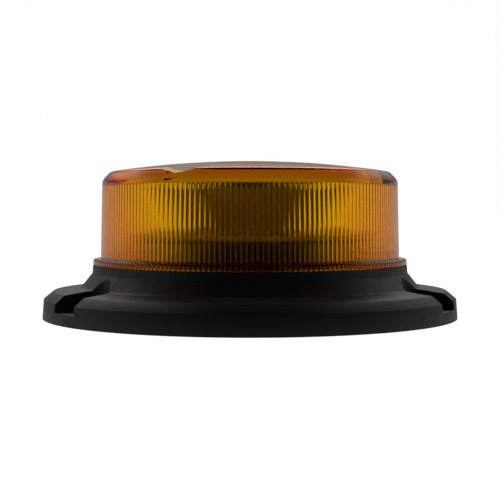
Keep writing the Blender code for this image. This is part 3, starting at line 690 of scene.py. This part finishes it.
def make_heat_sink(material):
    """The drum with its edge broken, and three low screw lugs round its foot."""
    top = sink_high.z
    foot = DECK_Z + GAP
    outline = [
        (SINK_HOLE_R, top),
        (SINK_R - SINK_EDGE, top),
        (SINK_R, top - SINK_EDGE),
        (SINK_R, foot),
        (SINK_R - SINK_WALL, foot),
        (SINK_R - SINK_WALL, top - SINK_WALL),
        (SINK_HOLE_R, top - SINK_WALL),
    ]
    sink = lathe("heat_sink_drum", outline, TURNED_STEPS, True)
    lugs = []
    for azimuth in LUG_AZIMUTHS:
        ear = slot_outline(SINK_R - SINK_WALL, LUG_CIRCLE_R + LUG_R, 2 * LUG_R, azimuth, True)
        lugs.append(prism("lug", ear, foot + LUG_FOOT_RISE, LUG_TOP_Z))
    combine(sink, lugs, "UNION")
    smooth(sink.data)
    adopt(sink, material, "heat_sink_metal", "heat_sink")


def make_led_board(mask, core):
    """A metal-core board: mask on top, bare metal at the edge and below."""
    low, high = board_low.z, board_high.z
    radius = board_high.x
    outline = [
        (0.0, high),
        (radius - BOARD_EDGE, high),
        (radius, high - BOARD_EDGE),
        (radius, low),
        (0.0, low),
    ]
    board = lathe("led_board_disc", outline, TURNED_STEPS, False)
    smooth(board.data)
    adopt(board, mask, "led_board", "led_board")
    board.data.materials.append(core)
    for face in board.data.polygons:
        face.material_index = 0 if face.normal.z > 0.9 else 1


# ---------------------------------------------------------------- stage
def make_camera():
    data = bpy.data.cameras.new("camera")
    data.lens = CAMERA_LENS_MM
    data.sensor_width = 36.0
    camera = bpy.data.objects.new("camera", data)
    bpy.context.scene.collection.objects.link(camera)
    x, y = polar(CAMERA_DISTANCE, CAMERA_AZIMUTH_DEG)
    camera.location = (x, y, CAMERA_HEIGHT)
    pitch = math.radians(CAMERA_PITCH_DEG)
    aim = Vector((-x, -y, 0.0)).normalized() * math.cos(pitch) - Vector((0, 0, math.sin(pitch)))
    camera.rotation_euler = aim.to_track_quat("-Z", "Y").to_euler()
    data.clip_start = 0.01
    bpy.context.scene.camera = camera


def ramp(tree, value, source, result):
    """A Map Range node from one span of values to another."""
    node = tree.nodes.new("ShaderNodeMapRange")
    node.inputs["From Min"].default_value = source[0]
    node.inputs["From Max"].default_value = source[1]
    for name, level in zip(("To Min", "To Max"), result):
        if isinstance(level, (int, float)):
            node.inputs[name].default_value = level
        else:
            tree.links.new(level, node.inputs[name])
    tree.links.new(value, node.inputs["Value"])
    return node.outputs["Result"]


def bounce_count(tree):
    """How often a ray has been turned, how often by scatter alone, and its clear passages."""
    rays = tree.nodes.new("ShaderNodeLightPath")
    total = tree.nodes.new("ShaderNodeMath")
    total.operation = "ADD"
    scatters = rays.outputs["Diffuse Depth"]
    tree.links.new(rays.outputs["Glossy Depth"], total.inputs[0])
    tree.links.new(scatters, total.inputs[1])
    return total.outputs["Value"], scatters, rays.outputs["Transmission Depth"]


def product(tree, first, second):
    node = tree.nodes.new("ShaderNodeMath")
    node.operation = "MULTIPLY"
    tree.links.new(first, node.inputs[0])
    tree.links.new(second, node.inputs[1])
    return node.outputs["Value"]


def studio_level(tree, direction, white):
    """The studio's level along a direction, for the way in which the ray has come.

    Seen straight, it is white. Outer surfaces mirror a dark front and a brighter back, and
    what is inside the lens sees it darken to the front and overhead.
    """
    parts = tree.nodes.new("ShaderNodeSeparateXYZ")
    tree.links.new(direction, parts.inputs["Vector"])
    depth, height = parts.outputs["Y"], parts.outputs["Z"]
    bounces, scatters, passages = bounce_count(tree)
    through = ramp(tree, depth, THROUGH_Y, THROUGH_LEVEL)
    straight = ramp(tree, passages, (0.0, 1.0), (white, through))
    low = ramp(tree, height, BACK_Z[:2], BACK_LEVEL[:2])
    back = ramp(tree, height, BACK_Z[1:], (low, BACK_LEVEL[2]))
    leaning = tree.nodes.new("ShaderNodeMath")
    leaning.operation = "MULTIPLY_ADD"
    tree.links.new(height, leaning.inputs[0])
    leaning.inputs[1].default_value = SURROUND_LEAN
    tree.links.new(depth, leaning.inputs[2])
    below = ramp(tree, height, CANOPY_Z, (1.0, CANOPY_SHADE))
    outside = ramp(tree, leaning.outputs["Value"], SURROUND_Y,
                   (FRONT_LEVEL, product(tree, back, below)))
    piped = ramp(tree, depth, PIPED_Y, PIPED_LEVEL)
    gloss = ramp(tree, depth, LENS_SURROUND_Y, LENS_SURROUND_LEVEL)
    inside = ramp(tree, scatters, (0.0, 1.0), (gloss, MATTE_LEVEL))
    within = ramp(tree, passages, (2.0, 3.0), (piped, inside))
    overhead = ramp(tree, height, OVERHEAD_Z, (1.0, OVERHEAD_SHADE))
    mirrored = ramp(tree, passages, (0.0, 1.0), (outside, product(tree, within, overhead)))
    return bounces, ramp(tree, bounces, (0.0, 1.0), (straight, mirrored))


def make_world():
    world = bpy.data.worlds.new("studio")
    bpy.context.scene.world = world
    world.use_nodes = True
    tree = world.node_tree
    background = tree.nodes["Background"]
    background.inputs["Color"].default_value = (1.0, 1.0, 1.0, 1.0)
    direction = tree.nodes.new("ShaderNodeTexCoord").outputs["Generated"]
    _, level = studio_level(tree, direction, WHITE_LEVEL)
    tree.links.new(level, background.inputs["Strength"])


def make_softbox():
    """A softbox above and behind, which isn't itself seen, straight or through the lens."""
    data = bpy.data.lights.new("top_softbox", "AREA")
    data.shape = "RECTANGLE"
    data.size, data.size_y = TOP_LIGHT_SIZE
    data.energy = TOP_LIGHT_W
    light = bpy.data.objects.new("top_softbox", data)
    bpy.context.scene.collection.objects.link(light)
    light.location = TOP_LIGHT_PLACE
    light.visible_camera = False
    light.visible_transmission = False
    aim = Vector(TOP_LIGHT_TARGET) - Vector(TOP_LIGHT_PLACE)
    light.rotation_euler = aim.to_track_quat("-Z", "Y").to_euler()


def make_floor():
    """A pale lit table, white but for the soft shade where the beacon meets it.

    Clear parts show it as they show the studio behind it, so that it has no edge in them.
    """
    outline = [(-FLOOR_HALF, -FLOOR_HALF), (FLOOR_HALF, -FLOOR_HALF), (FLOOR_HALF, FLOOR_HALF),
               (-FLOOR_HALF, FLOOR_HALF)]
    floor = prism("floor", outline, -FLOOR_T, 0.0)
    n = Nodes("floor_paper")
    paper = n.blend(n.spread(n.noise(30.0, detail=4.0), 0.0, 1.0), (0.48, 0.48, 0.48),
                    (0.50, 0.50, 0.50))
    n.shader.inputs["Roughness"].default_value = 0.9
    n.shader.inputs["Specular IOR Level"].default_value = 0.0
    n.shader.inputs["Emission Color"].default_value = (1.0, 1.0, 1.0, 1.0)
    direction = n.add("ShaderNodeVectorMath", operation="SUBTRACT")
    n.join(n.place, direction.inputs[0])
    direction.inputs[1].default_value = (0.0, 0.0, LENS_MIDDLE_Z)
    unit = n.add("ShaderNodeVectorMath", operation="NORMALIZE")
    n.join(direction.outputs["Vector"], unit.inputs[0])
    bounces, level = studio_level(n.tree, unit.outputs["Vector"], FLOOR_GLOW)
    n.join(level, n.shader.inputs["Emission Strength"])
    dark = n.add("ShaderNodeMix", data_type="RGBA")
    n.join(bounces, dark.inputs[0])
    n.join(paper, dark.inputs[6])
    dark.inputs[7].default_value = (0.0, 0.0, 0.0, 1.0)
    n.join(dark.outputs[2], n.shader.inputs["Base Color"])
    floor.data.materials.append(n.material)
    floor.visible_diffuse = False
    floor.visible_glossy = False


def paint(material, *names):
    for name in names:
        obj = nodes[name]
        obj.data.materials.clear()
        obj.data.materials.append(material)


def allow_bounces(cycles):
    """Lets light be piped round inside the lens, which a shorter path would leave black."""
    cycles.max_bounces = LIGHT_BOUNCES
    cycles.glossy_bounces = LIGHT_BOUNCES
    cycles.transmission_bounces = LIGHT_BOUNCES


def build():
    bpy.context.scene.view_settings.view_transform = "Standard"
    allow_bounces(bpy.context.scene.cycles)
    make_camera()
    make_world()
    make_softbox()
    make_floor()

    black = moulded_plastic("housing_plastic", (0.008, 0.008, 0.009), (0.012, 0.012, 0.013),
                            (0.42, 0.55))
    mirror = metal("reflector_metal", (0.80, 0.80, 0.82), (0.08, 0.16))
    anodised = metal("heat_sink_metal", (0.32, 0.32, 0.33), (0.3, 0.4), 1.0, turned=700.0)
    core = metal("board_core", (0.80, 0.80, 0.80), (0.45, 0.6), 0.6)
    mask = circuit_board("led_board_mask", (0.62, 0.60, 0.55), (0.70, 0.67, 0.62))
    steel = metal("screw_steel", (0.55, 0.55, 0.57), (0.25, 0.4))
    seal = rubber("seal_rubber", (0.012, 0.012, 0.012))
    cover = moulded_plastic("cover_plastic", (0.012, 0.012, 0.013), (0.018, 0.018, 0.019),
                            (0.5, 0.65))
    resin = moulded_plastic("chip_resin", (0.010, 0.010, 0.010), (0.02, 0.02, 0.02), (0.4, 0.5))
    cream = moulded_plastic("connector_plastic", (0.70, 0.66, 0.56), (0.78, 0.75, 0.66),
                            (0.4, 0.5))

    make_housing(black)
    make_lens(amber_glass())
    make_reflector(mirror)
    make_heat_sink(anodised)
    make_led_board(mask, core)

    leds = [f"led_{index + 1:02d}" for index in range(LED_COUNT)]
    paint(phosphor(), *leds)
    make_reflector_cover(metal("cap_plastic", (0.62, 0.62, 0.63), (0.25, 0.4)))
    paint(rubber("seal_silicone", (0.40, 0.08, 0.05)), "lens_seal")
    paint(rubber("thermal_pad", (0.20, 0.21, 0.23)), "thermal_pad")
    paint(circuit_board("driver_board", (0.01, 0.10, 0.04), (0.02, 0.15, 0.06)), "driver_board")
    paint(seal, "mounting_gasket", "cover_gasket", "cable_grommet")
    paint(cover, "bottom_cover")
    paint(moulded_plastic("vent_plastic", (0.08, 0.08, 0.09), (0.11, 0.11, 0.12), (0.5, 0.6)),
          "breather_vent")
    paint(resin, "regulator_1", "regulator_2", "microcontroller", "reverse_diode")
    paint(cream, "board_link_header", "input_connector")
    paint(moulded_plastic("inductor_body", (0.05, 0.05, 0.055), (0.09, 0.09, 0.10), (0.5, 0.6)),
          "inductor")
    paint(moulded_plastic("capacitor_sleeve", (0.03, 0.035, 0.10), (0.04, 0.045, 0.13),
                          (0.2, 0.3)), "capacitor_1", "capacitor_2")
    paint(steel, *[name for name in nodes if "screw" in name])


build()
